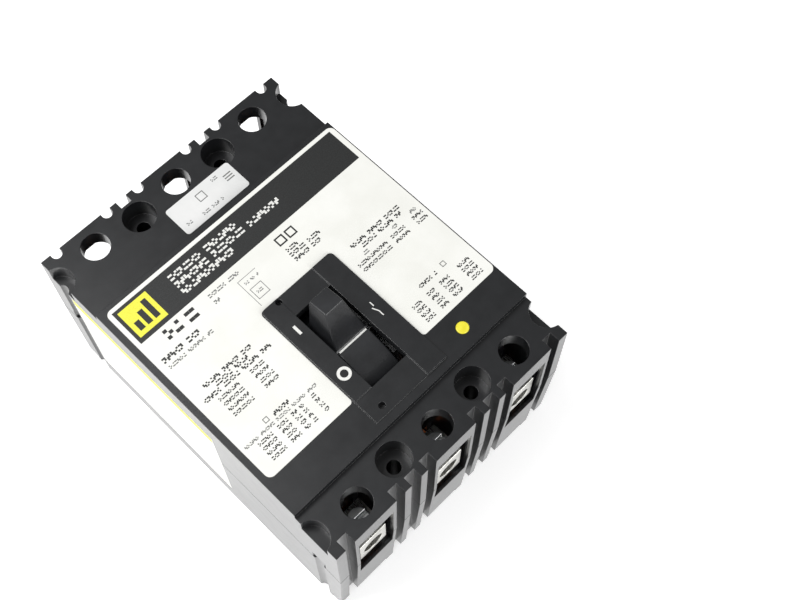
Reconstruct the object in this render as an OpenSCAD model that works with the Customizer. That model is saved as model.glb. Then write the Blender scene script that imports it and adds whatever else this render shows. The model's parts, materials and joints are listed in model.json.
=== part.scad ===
// Three-pole moulded case breaker, lying on its back.
// X runs across the poles, +Y points to the line end, +Z to the front.
// The origin is the middle of the back face. The handle is drawn ON.

/* [Case] */
// Distance from one pole to the next
pole_pitch = 38.1; // [36:0.1:50]
// How much narrower each side is than half a pole pitch
side_relief = 1.05; // [0.4:0.05:2]
// Length of the case from line end to load end
case_l = 151.8; // [146:0.2:200]
// Height of the end ledges above the back
ledge_h = 77.3; // [76:0.1:95]
// Height of the raised middle above the ledges
plateau_rise = 3; // [1:0.1:4]
// Height of the joint between base and cover
split_z = 42; // [40:0.5:46]
// Thickness of the outer walls
wall = 2.6; // [2:0.1:3.2]
// Thickness of the base floor
floor_t = 3; // [2:0.1:3.5]
// Thickness of the walls between poles
web_t = 3; // [2:0.1:5]
// How far the base ends slope in towards the back
end_draft = 2; // [0:0.1:3]
// Depth of the wiring pockets at each end
pocket_d = 19; // [18:0.1:22]
// Thickness of the wall that the wire windows go through
end_wall = 2; // [1.2:0.1:3]
// Width of a wire window
window_w = 16.2; // [14:0.1:17]
// Height of a wire window
window_h = 38; // [34:0.5:39]
// Height of the window sill above the back
window_z = 29; // [26:0.5:31]

/* [Mounting and screw holes] */
// Distance between the two rows of mounting holes
mount_l = 130.4; // [126:0.1:180]
// Diameter of the mounting holes
mount_d = 5.2; // [4:0.1:6]
// Diameter of the mounting screw counterbores
mount_cb_d = 12.7; // [10:0.1:13]
// Depth of the counterbores
mount_cb_h = 9; // [5:0.5:12]
// Diameter of the holes over the terminal screws
access_d = 11; // [9.5:0.1:12]
// Distance from an end to the terminal screw centres
access_inset = 8.9; // [8.5:0.1:10]

/* [End slots] */
// Half width of a flat pole face
face_hw = 9.6; // [9:0.1:10]
// Width of the slots beside the pole faces
slot_w = 4.1; // [2:0.1:4.5]
// Depth of those slots at the line end
slot_d = 3.2; // [1:0.1:3.6]
// Width of the gap between two poles
gap_w = 4.65; // [2:0.05:5]

/* [Front] */
// How far the handle and its surround sit off the centre line
front_x = 1.2; // [-2:0.1:2]
// Width of the handle opening
opening_w = 16.7; // [16:0.1:18]
// Length of the handle opening
opening_l = 37.6; // [37:0.1:39]
// Height of the rails beside the handle
rail_h = 1.2; // [0.4:0.1:2]
// Height of the pads at the ends of the handle opening
pad_h = 0.6; // [0.2:0.1:1]
// Diameter of the trip button
button_d = 4.8; // [4:0.1:6]
// Radial gap round anything that slides or turns
run_gap = 0.05; // [0.03:0.01:0.09]

/* [Handle] */
// Where the handle pivots, along the case
pivot_y = -24; // [-25:0.1:-23]
// Height of the handle pivot above the back
pivot_z = 44; // [43.8:0.1:44.4]
// Outer radius of the curved shutter under the lever
shutter_r = 33.5; // [33:0.1:34]
// Half angle that the shutter covers
shutter_a = 42.5; // [38:0.5:43]
// Width of the shutter
shutter_w = 14.4; // [12:0.1:15]
// Distance from the pivot to the top of the lever
lever_r = 49; // [44:0.5:56]
// Angle of the handle either side of the middle
throw_a = 12; // [10:0.5:12]

/* [Mechanism] */
// Height of the crossbar axis
bar_z = 16; // [16:0.1:16.6]
// Where the crossbar axis lies, along the case
bar_y = -22; // [-22.4:0.1:-21.6]
// Radius of the crossbar
bar_r = 6.5; // [6:0.1:6.6]
// Thickness of the two mechanism side frames
frame_t = 1.6; // [1:0.1:2]
// Gap between the inner faces of the side frames
frame_gap = 24; // [23.6:0.1:25]
// Width of a contact arm
arm_w = 6; // [4:0.1:6.5]
// Thickness of the terminal straps
strap_t = 2.4; // [1.6:0.1:2.6]
// Width of the terminal straps
strap_w = 12; // [9:0.1:13]
// Width of a wire lug
lug_w = 12.8; // [11:0.1:15]
// Diameter of the wire hole in a lug
wire_d = 8.6; // [7:0.1:9]
// Diameter of the lug screw
lug_screw_d = 7.9; // [6:0.1:8]
// Number of plates in an arc chute
arc_plates = 8; // [4:1:8]

/* [Hidden] */
$fn = 48;
eps = 0.01;
poles = [-1, 0, 1];
ends = [-1, 1];
case_w = 3 * pole_pitch - 2 * side_relief;
half_w = case_w / 2;
half_l = case_l / 2;
top_z = ledge_h + plateau_rise;
plateau_y0 = -half_l + 19.5;
plateau_y1 = half_l - 31.5;
roof_t = 3.2;
ledge_t = 7;
pocket_y = half_l - pocket_d;
pocket_hw = face_hw - 0.6;
bay_y = pocket_y - 2;
bay_hw = (pole_pitch - web_t) / 2;
mount_y = mount_l / 2;
access_y = half_l - access_inset;
gap_d = slot_d + 0.2;
load_slot_d = slot_d + 1.2;
load_gap_d = slot_d + 0.6;
mech_w = frame_gap / 2;
frame_x = mech_w + frame_t;
pin_r = 1.5;
pivot_pin_r = 2;
// strap levels
strap_z = window_z + 5.1;
strap_top = strap_z + strap_t;
floor_strap_z = floor_t + 2;
// lug
lug_recess = 2;
lug_l = 13.6;
lug_z0 = strap_top + 0.2;
lug_h = 15;
lug_y = half_l - lug_recess - lug_l / 2;
wire_z = lug_z0 + 1.9 + wire_d / 2;
screw_top = lug_z0 + lug_h + 6.5;
screw_clear = 0.4;
// contacts
contact_y = 32;
pad_t = 1.6;
contact_gap = 0.3;
fixed_top = floor_strap_z + strap_t + pad_t;
arm_tip_z = fixed_top + contact_gap + pad_t;
arm_t = 5;
arm_tip_y = contact_y + 5;
arm_tail_y = bar_y - bar_r - 3.5;
// toggle linkage pins, closed position, measured from the crossbar axis
drive_y = bar_y + 4.4;
drive_z = bar_z + 9.6;
knee_y = (drive_y + pivot_y + 1) / 2;
link_top_y = pivot_y + 1;
link_top_z = pivot_z + 0.5;
knee_z = (drive_z + link_top_z) / 2;
cradle_y = -8;
cradle_z = pivot_z + 2;
latch_y = -37.6;
latch_z = pivot_z + 14.5;
// trip unit, tied to the load end
trip_y = -half_l + 34.4;
trip_z = pivot_z + 12;
trip_r = 3;
button_y = -half_l + 26.6;
button_x = 30.7;
button_low = trip_z + 2.5;
heater_y = -bay_y + 8.9;
armature_y = -bay_y + 3.3;
hinge_y = armature_y + 1.2;
hinge_z = 15.5;
hinge_r = 0.9;
armature_t = 1.8;
// arc chute
chute_y1 = bay_y - 4.9;
chute_y0 = 22;
chute_w = 20;
chute_step = 4;
chute_z = 20;

// ---- small helpers ----

// A block given by its lowest and highest corners.
module block(low, high) translate(low) cube(high - low);

// A round bar along X.
module bar_x(r, x0, x1, y, z) translate([x0, y, z]) rotate([0, 90, 0]) cylinder(r = r, h = x1 - x0);

// A round bar along Z.
module bar_up(r, x, y, z0, z1) translate([x, y, z0]) cylinder(r = r, h = z1 - z0);

// A side profile in Y and Z, given thickness from x0 to x1.
module side_profile(x0, x1) translate([x0, 0, 0]) rotate([90, 0, 90]) linear_extrude(x1 - x0) children();

// Turns what follows about an X axis through y, z.
module about(y, z, a) translate([0, y, z]) rotate([a, 0, 0]) translate([0, -y, -z]) children();

// A flat sheet with round corners.
module round_sheet(low, high, r, z0, z1) {
  translate([0, 0, z0]) linear_extrude(z1 - z0) {
    translate([low[0] + r, low[1]]) square([high[0] - low[0] - 2 * r, high[1] - low[1]]);
    translate([low[0], low[1] + r]) square([high[0] - low[0], high[1] - low[1] - 2 * r]);
    for (x = [low[0] + r, high[0] - r], y = [low[1] + r, high[1] - r]) translate([x, y]) circle(r);
  }
}

function pole_x(p) = p * pole_pitch;
function bay_x0(p) = max(pole_x(p) - bay_hw, -half_w + wall);
function bay_x1(p) = min(pole_x(p) + bay_hw, half_w - wall);

// ---- case ----

// Slots up both ends: one either side of each pole face, and a gap between poles.
// The slots of the line end have round bottoms and those of the load end square ones.
module end_cuts() {
  for (p = poles, s = [-1, 1]) {
    x = pole_x(p) + s * (face_hw + slot_w / 2);
    round_y = half_l - slot_d + slot_w / 2;
    translate([x, round_y, -1]) cylinder(d = slot_w, h = top_z + 2);
    block([x - slot_w / 2, round_y, -1], [x + slot_w / 2, half_l + 1, top_z + 1]);
    block([x - slot_w / 2, -half_l - 1, -1], [x + slot_w / 2, -half_l + load_slot_d, top_z + 1]);
  }
  for (s = [-1, 1]) {
    x = s * pole_pitch / 2;
    block([x - gap_w / 2, half_l - gap_d, -1], [x + gap_w / 2, half_l + 1, top_z + 1]);
    block([x - gap_w / 2, -half_l - 1, -1], [x + gap_w / 2, -half_l + load_gap_d, top_z + 1]);
  }
}

// Round mounting holes between the poles, and the half holes on the sides. Those of the
// load end stop a little above the joint, and those of the line end run up to the top.
side_cb_h = mount_cb_h - 2.4;
side_hole_h = 6;
module mounting_cuts() {
  side_x = 1.5 * pole_pitch;
  for (e = ends, s = [-1, 1]) {
    bar_up(mount_d / 2, s * pole_pitch / 2, e * mount_y, -1, top_z);
    bar_up(mount_cb_d / 2, s * pole_pitch / 2, e * mount_y, ledge_h - mount_cb_h, top_z + 1);
    bar_up(mount_cb_d / 2, s * side_x, e * mount_y, ledge_h - side_cb_h, top_z + 1);
    hole_top = e > 0 ? top_z : split_z + side_hole_h;
    bar_up(mount_d / 2, s * side_x, e * mount_y, -1, hole_top);
    bar_up(mount_d / 2 + 0.8, s * side_x, e * mount_y, split_z, split_z + side_hole_h);
  }
}

// The pocket, strap slot and wire window of one pole end.
module end_pocket(p, e) {
  x = pole_x(p);
  y = [e * pocket_y, e * (half_l - end_wall)];
  pocket_floor = window_z - 2;
  block([x - pocket_hw, min(y), pocket_floor], [x + pocket_hw, max(y), ledge_h - ledge_t]);
  out = [e * (half_l - end_wall - 1), e * (half_l + 1)];
  block([x - window_w / 2, min(out), window_z], [x + window_w / 2, max(out), window_z + window_h]);
  slot = [e * (bay_y - 1), e * (pocket_y + 1)];
  block([x - strap_w / 2 - 0.4, min(slot), strap_z - 0.1], [x + strap_w / 2 + 0.4, max(slot), split_z]);
}

// Room for the trip bar, which turns in the walls between the poles.
module trip_bar_seats() {
  bar_x(trip_r + run_gap, -half_w + wall + 1, half_w - wall - 1, trip_y, trip_z);
  seat_w = trip_r + 0.3;
  block([-half_w + wall + 1, trip_y - seat_w, split_z - 1], [half_w - wall - 1, trip_y + seat_w, trip_z]);
}

foot_l = 6.5;
foot_h = 2;
module base() color("dimgray") difference() {
  side_profile(-half_w, half_w) polygon([
    [-half_l + end_draft, 0], [half_l - end_draft, 0], [half_l, split_z], [-half_l, split_z]
  ]);
  for (p = poles) block([bay_x0(p), -bay_y, floor_t], [bay_x1(p), bay_y, split_z + 1]);
  for (p = poles, e = ends) end_pocket(p, e);
  end_cuts();
  mounting_cuts();
  side_label_recess();
  // bearing seats of the crossbar
  bar_x(bar_r + run_gap, -pole_pitch, pole_pitch, bar_y, bar_z);
  block([-pole_pitch, bar_y - bar_r - run_gap, bar_z], [pole_pitch, bar_y + bar_r + run_gap, split_z + 1]);
  // relief under the ends, leaving a small foot below each pole face
  for (e = ends) difference() {
    y = [e * (half_l - foot_l), e * (half_l + 1)];
    block([-half_w - 1, min(y), -1], [half_w + 1, max(y), foot_h]);
    for (p = poles) block([pole_x(p) + 6, min(y) - 1, -2], [pole_x(p) + face_hw, max(y) + 1, foot_h + 1]);
  }
  cover_screw_bores();
}

// Screws driven from the back, between the poles, that hold the cover on.
cover_screw_at = [for (x = [-1, 1], e = ends) [x * pole_pitch / 2, e * (pocket_y + 1.4)]];
cover_screw_r = 1.6;
cover_head_r = 2.9;
cover_head_z = 1.4;
cover_seat_z = 3.8;
module cover_screw_bores() for (c = cover_screw_at) {
  bar_up(cover_screw_r + 0.2, c[0], c[1], -1, split_z + 1);
  bar_up(cover_head_r + 0.3, c[0], c[1], -1, cover_seat_z);
}

module cover_screws() color("silver") difference() {
  for (c = cover_screw_at) {
    bar_up(cover_screw_r, c[0], c[1], cover_seat_z - 0.5, split_z + 8);
    bar_up(cover_head_r, c[0], c[1], cover_head_z, cover_seat_z);
  }
  for (c = cover_screw_at) translate([c[0], c[1], cover_head_z]) cube([8, 0.8, 2], center = true);
}

// Raised surround of the handle: two rails and two end pads.
rail_in = opening_w / 2;
rail_left_x = -15;
rail_right_x = 18.7;
front_low_y = pivot_y - 29.1;
front_high_y = pivot_y + 28.1;
opening_y0 = pivot_y - opening_l / 2;
opening_y1 = pivot_y + opening_l / 2;
// Blind holes on the left of the handle, one at each end.
blind_holes = [[-9.3, front_low_y + 3.2], [-7.8, front_high_y - 1.6]];
blind_hole_r = 1.25;
surround_r = 1.8;
module surround() intersection() {
  surround_blocks();
  round_sheet([rail_left_x, front_low_y - 4], [rail_right_x, front_high_y], surround_r,
    top_z - 1, top_z + rail_h + 1);
}

module surround_blocks() {
  block([rail_left_x, opening_y0, top_z - eps], [front_x - rail_in, front_high_y, top_z + rail_h]);
  block([front_x + rail_in, front_low_y, top_z - eps], [rail_right_x, front_high_y, top_z + rail_h]);
  block([rail_left_x, front_low_y, top_z - eps], [front_x + rail_in, opening_y0 + eps, top_z + pad_h]);
  block([front_x - rail_in - eps, opening_y1, top_z - eps],
    [front_x + rail_in + eps, front_high_y, top_z + pad_h]);
}

// A fine step round the joint, where the edge of the cover is set in.
seam_d = 0.3;
seam_h = 0.4;
module seam() difference() {
  block([-half_w - 1, -half_l - 1, split_z - 1], [half_w + 1, half_l + 1, split_z + seam_h]);
  block([-half_w + seam_d, -half_l + seam_d, split_z - 2],
    [half_w - seam_d, half_l - seam_d, split_z + 1]);
}

module cover() color([0.13, 0.13, 0.14]) difference() {
  union() {
    block([-half_w, -half_l, split_z], [half_w, half_l, ledge_h]);
    block([-half_w, plateau_y0, ledge_h - eps], [half_w, plateau_y1, top_z]);
    surround();
  }
  for (p = poles) {
    block([bay_x0(p), -bay_y, split_z - 1], [bay_x1(p), bay_y, ledge_h - roof_t]);
    block([bay_x0(p), plateau_y0 + wall, split_z], [bay_x1(p), plateau_y1 - wall, top_z - roof_t]);
  }
  for (p = poles, e = ends) {
    end_pocket(p, e);
    bar_up(access_d / 2, pole_x(p), e * access_y, ledge_h - ledge_t - 1, top_z);
  }
  end_cuts();
  mounting_cuts();
  trip_bar_seats();
  seam();
  side_label_recess();
  // opening for the handle
  block([front_x - rail_in, opening_y0, top_z - roof_t - 1],
    [front_x + rail_in, opening_y1, top_z + rail_h + 1]);
  // button hole
  bar_up(button_d / 2 + run_gap, button_x, button_y, top_z - roof_t - 1, top_z + 1);
  for (h = blind_holes) bar_up(blind_hole_r, h[0], h[1], top_z - 2, top_z + 2);
  for (c = cover_screw_at) bar_up(cover_screw_r, c[0], c[1], split_z - 1, split_z + 8);
}

// ---- labels ----
label_t = 0.15;
label_low = [-53.5, -half_l + 33.9];
label_high = [55.6, half_l - 33.5];
label_clear = 0.3;
inner_corner_r = 1.3;

// The part of a square corner that a round one leaves out. sx and sy point inwards.
module corner_bit(x, y, sx, sy, r) difference() {
  far = [x + sx * r, y + sy * r];
  block([min(x, far[0]), min(y, far[1]), top_z - 1], [max(x, far[0]), max(y, far[1]), top_z + 1]);
  bar_up(r, far[0], far[1], top_z - 2, top_z + 2);
}

module rating_label() color("ivory") {
  cut_x = [rail_left_x - label_clear, rail_right_x + label_clear];
  cut_y = front_high_y + label_clear;
  difference() {
    round_sheet(label_low, label_high, 2.4, top_z, top_z + label_t);
    difference() {
      block([cut_x[0], label_low[1] - 1, top_z - 1], [cut_x[1], cut_y, top_z + 1]);
      for (k = [0, 1]) corner_bit(cut_x[k], cut_y, 1 - 2 * k, -1, surround_r);
    }
    for (k = [0, 1]) corner_bit(cut_x[k], label_low[1], 2 * k - 1, 1, inner_corner_r);
  }
}

// White label on the left wall, across the joint, let in a little below the surface.
side_label_depth = 0.2;
side_label_low = [-14, 9.5];
side_label_high = [mount_y - mount_d / 2 - 0.4, split_z + 26.5];
module side_label_recess()
  block([-half_w - 1, side_label_low[0], side_label_low[1]],
    [-half_w + side_label_depth, side_label_high[0], side_label_high[1]]);

module side_label() color("white")
  block([-half_w + side_label_depth - label_t, side_label_low[0] + 0.1, side_label_low[1] + 0.1],
    [-half_w + side_label_depth, side_label_high[0] - 0.1, side_label_high[1] - 0.1]);

module ledge_sticker() color("white")
  round_sheet([-11.5, plateau_y1 + 2.3], [18.7, plateau_y1 + 15.6], 1.2, ledge_h, ledge_h + label_t);

// ---- handle ----
shutter_t = 2;
lever_root = 14.6;
lever_top = 8.4;
lever_top_w = 8.5;
// How far the top of the lever leans towards the line end
lever_lean = 1.5;
hub_hw = 6.5;
hub_r = 24;
yoke_t = 1.2;
yoke_x = mech_w - 0.5;

// Tapered outline of the lever, from half its root to half its top.
module lever_outline(root, top, lean = 0) polygon([
  [-root, shutter_r - 1], [root, shutter_r - 1], [lean + top, lever_r], [lean - top, lever_r]
]);

// The lever and shutter, upright about the pivot.
module handle_upright() {
  reach = 2 * shutter_r * [sin(shutter_a), cos(shutter_a)];
  side_profile(front_x - shutter_w / 2, front_x + shutter_w / 2)
    translate([pivot_y, pivot_z]) intersection() {
      difference() {
        circle(shutter_r, $fn = 96);
        circle(shutter_r - shutter_t, $fn = 96);
      }
      polygon([[0, 0], [-reach[0], reach[1]], reach]);
    }
  intersection() {
    side_profile(front_x - shutter_w, front_x + shutter_w)
      translate([pivot_y, pivot_z]) lever_outline(lever_root / 2, lever_top / 2, lever_lean);
    translate([front_x, pivot_y, pivot_z]) rotate([90, 0, 0])
      linear_extrude(4 * lever_root, center = true) lever_outline(shutter_w / 2, lever_top_w / 2);
  }
  block([front_x - hub_hw, pivot_y - 4.5, pivot_z + hub_r],
    [front_x + hub_hw, pivot_y + 4.5, pivot_z + shutter_r - 1.5]);
}

module handle() color([0.1, 0.1, 0.11]) about(pivot_y, pivot_z, -throw_a) handle_upright();

// Steel yoke under the handle, with a fork down to the pivot on each side.
module handle_yoke() color("silver") about(pivot_y, pivot_z, -throw_a) difference() {
  union() {
    block([front_x - yoke_x, pivot_y - 4, pivot_z + hub_r - 1.5],
      [front_x + yoke_x, pivot_y + 4, pivot_z + hub_r]);
    for (s = [-1, 1]) {
      x0 = front_x + (s > 0 ? yoke_x - yoke_t : -yoke_x);
      block([x0, pivot_y - 4, pivot_z], [x0 + yoke_t, pivot_y + 4, pivot_z + hub_r - 1]);
      bar_x(4, x0, x0 + yoke_t, pivot_y, pivot_z);
    }
  }
  bar_x(pivot_pin_r + run_gap, front_x - yoke_x - 1, front_x + yoke_x + 1, pivot_y, pivot_z);
}

module handle_pins() color("gainsboro") for (s = [-1, 1]) {
  x0 = front_x + (s > 0 ? yoke_x - yoke_t - 0.4 : -frame_x);
  bar_x(pivot_pin_r, x0, x0 + frame_x - yoke_x + yoke_t + 0.4, pivot_y, pivot_z);
}

// A coil spring along Z, from the origin, as one wire.
function ring(c, r, wire, a, n) = [for (i = [0:n - 1])
  let (b = 360 * i / n) [(r + wire * cos(b)) * cos(a), (r + wire * cos(b)) * sin(a), c + wire * sin(b)]];
module coil(r, wire, h, turns) {
  sides = 6;
  steps = turns * 14;
  rise = (h - 2 * wire) / steps;
  pts = [for (k = [0:steps]) each ring(wire + rise * k, r, wire, 360 * turns * k / steps, sides)];
  side_faces = [for (k = [0:steps - 1], i = [0:sides - 1])
    let (a = k * sides + i, b = k * sides + (i + 1) % sides)
      each [[a, b + sides, b], [a, a + sides, b + sides]]];
  polyhedron(concat(pts), concat(side_faces,
    [[for (i = [0:sides - 1]) i]], [[for (i = [sides - 1:-1:0]) steps * sides + i]]), convexity = 8);
}

spring_x = mech_w - 4.2;
module toggle_springs() color("silver") for (s = [-1, 1]) {
  anchor_y = pivot_y + (hub_r - 1.5) * sin(throw_a);
  anchor_z = pivot_z + (hub_r - 1.5) * cos(throw_a);
  lean = atan2(anchor_y - knee_y, anchor_z - knee_z);
  span = norm([anchor_y - knee_y, anchor_z - knee_z]);
  translate([front_x + s * spring_x, knee_y, knee_z]) rotate([-lean, 0, 0]) translate([0, 0, pin_r + 0.1])
    coil(1.6, 0.35, span - pin_r - 0.6, 12);
}

// ---- mechanism ----
frame_y0 = pivot_y - 13;
frame_y1 = cradle_y + 4;
frame_top = pivot_z + 16;
frame_corner = 4;
spacer_y = cradle_y - 1;
spacer_z = pivot_z - 14;

// Side plate of the mechanism, notched over the crossbar.
module side_frame(x0) difference() {
  side_profile(x0, x0 + frame_t) polygon([
    [frame_y0, floor_t], [bar_y - 9, floor_t], [bar_y - 9, bar_z + 11],
    [bar_y + 9.5, bar_z + 11], [bar_y + 9.5, floor_t], [frame_y1 - 1.5, floor_t],
    [frame_y1, pivot_z - 4], [frame_y1, frame_top - frame_corner], [frame_y1 - frame_corner, frame_top],
    [frame_y0 + frame_corner, frame_top], [frame_y0, frame_top - frame_corner]
  ]);
  bar_x(pivot_pin_r, x0 - 1, x0 + frame_t + 1, pivot_y, pivot_z);
  bar_x(pin_r, x0 - 1, x0 + frame_t + 1, cradle_y, cradle_z);
  bar_x(pin_r, x0 - 1, x0 + frame_t + 1, spacer_y, spacer_z);
}
module frame_left() color("lightsteelblue") side_frame(front_x - frame_x);
module frame_right() color("lightsteelblue") side_frame(front_x + mech_w);

// Spacer rod that ties the two side frames together.
module frame_pins() color("silver") {
  bar_x(pin_r, front_x - frame_x, front_x + frame_x, spacer_y, spacer_z);
}

module cradle_pin() color("silver") bar_x(pin_r, front_x - frame_x, front_x + frame_x, cradle_y, cradle_z);

// Latched arm that carries the upper links.
module cradle() color("slategray") difference() {
  side_profile(front_x - 1.6, front_x + 1.6) {
    polygon([
      [cradle_y + 1, cradle_z - 3.4], [cradle_y + 1, cradle_z + 3.4],
      [link_top_y, link_top_z + 6], [latch_y, latch_z + 2], [latch_y, latch_z - 1.5],
      [link_top_y - 3, link_top_z - 2.8], [link_top_y, link_top_z - 3.4]
    ]);
    translate([cradle_y, cradle_z]) circle(3.5);
  }
  bar_x(pin_r + run_gap, front_x - 3, front_x + 3, cradle_y, cradle_z);
  bar_x(pin_r + run_gap, front_x - 3, front_x + 3, link_top_y, link_top_z);
}

// A flat link with round eyes at two pin centres and a slightly narrower waist.
module link(x0, x1, from, to, r) {
  a = atan2(to[1] - from[1], to[0] - from[0]);
  waist = 0.9 * r;
  side_profile(x0, x1) {
    translate(from) circle(r);
    translate(to) circle(r);
    translate(from) rotate(a) translate([0, -waist]) square([norm(to - from), 2 * waist]);
  }
}

link_r = 2.8;
upper_link_x = 2.2;
lower_link_x = 4.2;
link_t = 1.2;
// Two upper links and the pin that joins them to the cradle.
module upper_links() color("lightslategray") {
  for (s = [-1, 1]) {
    x0 = front_x + (s > 0 ? upper_link_x : -upper_link_x - link_t);
    difference() {
      link(x0, x0 + link_t, [link_top_y, link_top_z], [knee_y, knee_z], link_r);
      bar_x(pin_r, x0 - 1, x0 + link_t + 1, knee_y, knee_z);
    }
  }
  reach = upper_link_x + eps;
  bar_x(pin_r, front_x - reach, front_x + reach, link_top_y, link_top_z);
}

module toggle_pin() color("gainsboro")
  bar_x(pin_r, front_x - spring_x - 2, front_x + spring_x + 2, knee_y, knee_z);

// Two lower links. The knee eye is wide, so that the toggle pin has play in it.
knee_eye_r = 4.7;
knee_hole_r = 3.3;
module lower_links() color("lightslategray") for (s = [-1, 1]) {
  x0 = front_x + (s > 0 ? lower_link_x : -lower_link_x - link_t);
  hole_y = knee_y - 0.4;
  hole_z = knee_z + 0.7;
  difference() {
    union() {
      link(x0, x0 + link_t, [drive_y, drive_z], [hole_y, hole_z], link_r);
      bar_x(knee_eye_r, x0, x0 + link_t, hole_y, hole_z);
    }
    bar_x(knee_hole_r, x0 - 1, x0 + link_t + 1, hole_y, hole_z);
    bar_x(pin_r + run_gap, x0 - 1, x0 + link_t + 1, drive_y, drive_z);
  }
}

module drive_pin() color("gainsboro") bar_x(pin_r, front_x - 5.8, front_x + 5.8, drive_y, drive_z);

// Moulded crossbar with slots for the arms and two ears for the drive pin.
bar_end = pole_pitch + 12;
ear_x = 2.4;
module crossbar() color([0.35, 0.2, 0.12]) difference() {
  union() {
    bar_x(bar_r, -bar_end, bar_end, bar_y, bar_z);
    for (s = [-1, 1]) {
      x0 = front_x + (s > 0 ? ear_x : -ear_x - link_t);
      difference() {
        link(x0, x0 + link_t, [bar_y + 2, bar_z + 4], [drive_y, drive_z], 2.8);
        bar_x(pin_r, x0 - 1, x0 + link_t + 1, drive_y, drive_z);
      }
    }
  }
  for (p = poles) block([pole_x(p) - arm_w / 2, bar_y - bar_r - 1, bar_z - arm_t / 2],
    [pole_x(p) + arm_w / 2, bar_y + bar_r + 1, bar_z + arm_t / 2]);
}

module contact_arm(p) color("peru") {
  arm_low = bar_z - arm_t / 2;
  bend_y = bar_y + bar_r + 2;
  side_profile(pole_x(p) - arm_w / 2, pole_x(p) + arm_w / 2) polygon([
    [arm_tail_y, arm_low], [bend_y, arm_low], [contact_y - 5, arm_tip_z], [arm_tip_y, arm_tip_z],
    [arm_tip_y, arm_tip_z + 3], [arm_tip_y - 3, arm_tip_z + arm_t],
    [bend_y, arm_low + arm_t], [arm_tail_y, arm_low + arm_t]
  ]);
}
module contact_arm_1() contact_arm(-1);
module contact_arm_2() contact_arm(0);
module contact_arm_3() contact_arm(1);

module moving_contacts() color("silver") for (p = poles)
  block([pole_x(p) - 2.8, contact_y - 4, arm_tip_z - pad_t], [pole_x(p) + 2.8, contact_y + 4, arm_tip_z]);

module fixed_contacts() color("silver") for (p = poles)
  block([pole_x(p) - 4, contact_y - 5, fixed_top - pad_t], [pole_x(p) + 4, contact_y + 5, fixed_top]);

// Flexible copper braid from the tail of an arm up to the bimetal.
module braid(p) color("sandybrown") {
  y1 = arm_tail_y - 0.4;
  y0 = heater_y + 1.6;
  side_profile(pole_x(p) - 3, pole_x(p) + 3) polygon([
    [y1, bar_z - 2], [y1, bar_z], [(y0 + y1) / 2 + 1.2, bar_z + 1.5], [(y0 + y1) / 2 - 1, bar_z + 20],
    [y0, bar_z + 26], [y0, bar_z + 24], [(y0 + y1) / 2 - 3, bar_z + 18.5], [(y0 + y1) / 2 - 1, bar_z]
  ]);
}
module braid_1() braid(-1);
module braid_2() braid(0);
module braid_3() braid(1);

// ---- current path ----

// Line strap: contact on the floor, up behind the arc chute and out to the screw.
module line_terminal(p) color("chocolate") difference() {
  riser = bay_y - 1.9;
  side_profile(pole_x(p) - strap_w / 2, pole_x(p) + strap_w / 2) polygon([
    [contact_y - 7, floor_strap_z], [riser, floor_strap_z], [riser, strap_z], [half_l - 3.6, strap_z],
    [half_l - 3.6, strap_top], [riser - strap_t, strap_top], [riser - strap_t, floor_strap_z + strap_t],
    [contact_y - 7, floor_strap_z + strap_t]
  ]);
  bar_up(2.6, pole_x(p), access_y, strap_z - 1, strap_top + 1);
}
module line_terminal_1() line_terminal(-1);
module line_terminal_2() line_terminal(0);
module line_terminal_3() line_terminal(1);

// Steel plates that split the arc, each slotted for the moving arm.
module arc_plates_of(p) color("lightgray") for (i = [0:arc_plates - 1]) {
  z = chute_z + i * chute_step;
  x = pole_x(p);
  difference() {
    block([x - chute_w / 2, chute_y0 + 2, z], [x + chute_w / 2, chute_y1 - 2, z + 1.2]);
    block([x - 4.5, chute_y0, z - 1], [x + 4.5, arm_tip_y + 3, z + 2]);
    bar_up(4.5, x, arm_tip_y + 3, z - 1, z + 2);
  }
}
module arc_plates_1() arc_plates_of(-1);
module arc_plates_2() arc_plates_of(0);
module arc_plates_3() arc_plates_of(1);

// Fibre side walls that hold the plates.
module arc_walls(p) color("wheat") for (s = [-1, 1]) {
  x0 = pole_x(p) + (s > 0 ? chute_w / 2 : -chute_w / 2 - 1.4);
  block([x0, chute_y0, chute_z - 7], [x0 + 1.4, chute_y1, chute_z + arc_plates * chute_step]);
}
module arc_walls_1() arc_walls(-1);
module arc_walls_2() arc_walls(0);
module arc_walls_3() arc_walls(1);

// Load strap: from under the lug, down the end of the bay to the bimetal.
module load_terminal(p) color("chocolate") {
  fall = -bay_y + 0.5;
  strap_end = -half_l + 5.4;
  side_profile(pole_x(p) - strap_w / 2, pole_x(p) + strap_w / 2) polygon([
    [strap_end, strap_z], [fall, strap_z], [fall, floor_strap_z], [heater_y + 2, floor_strap_z],
    [heater_y + 2, floor_strap_z + 2], [fall + 2, floor_strap_z + 2],
    [fall + 2, strap_top], [strap_end, strap_top]
  ]);
}
module load_terminal_1() load_terminal(-1);
module load_terminal_2() load_terminal(0);
module load_terminal_3() load_terminal(1);

bimetal_top = 48;
module bimetal(p) color("darkkhaki")
  block([pole_x(p) - 4.5, heater_y, floor_strap_z + 2], [pole_x(p) + 4.5, heater_y + 1.2, bimetal_top]);
module bimetal_1() bimetal(-1);
module bimetal_2() bimetal(0);
module bimetal_3() bimetal(1);

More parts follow.
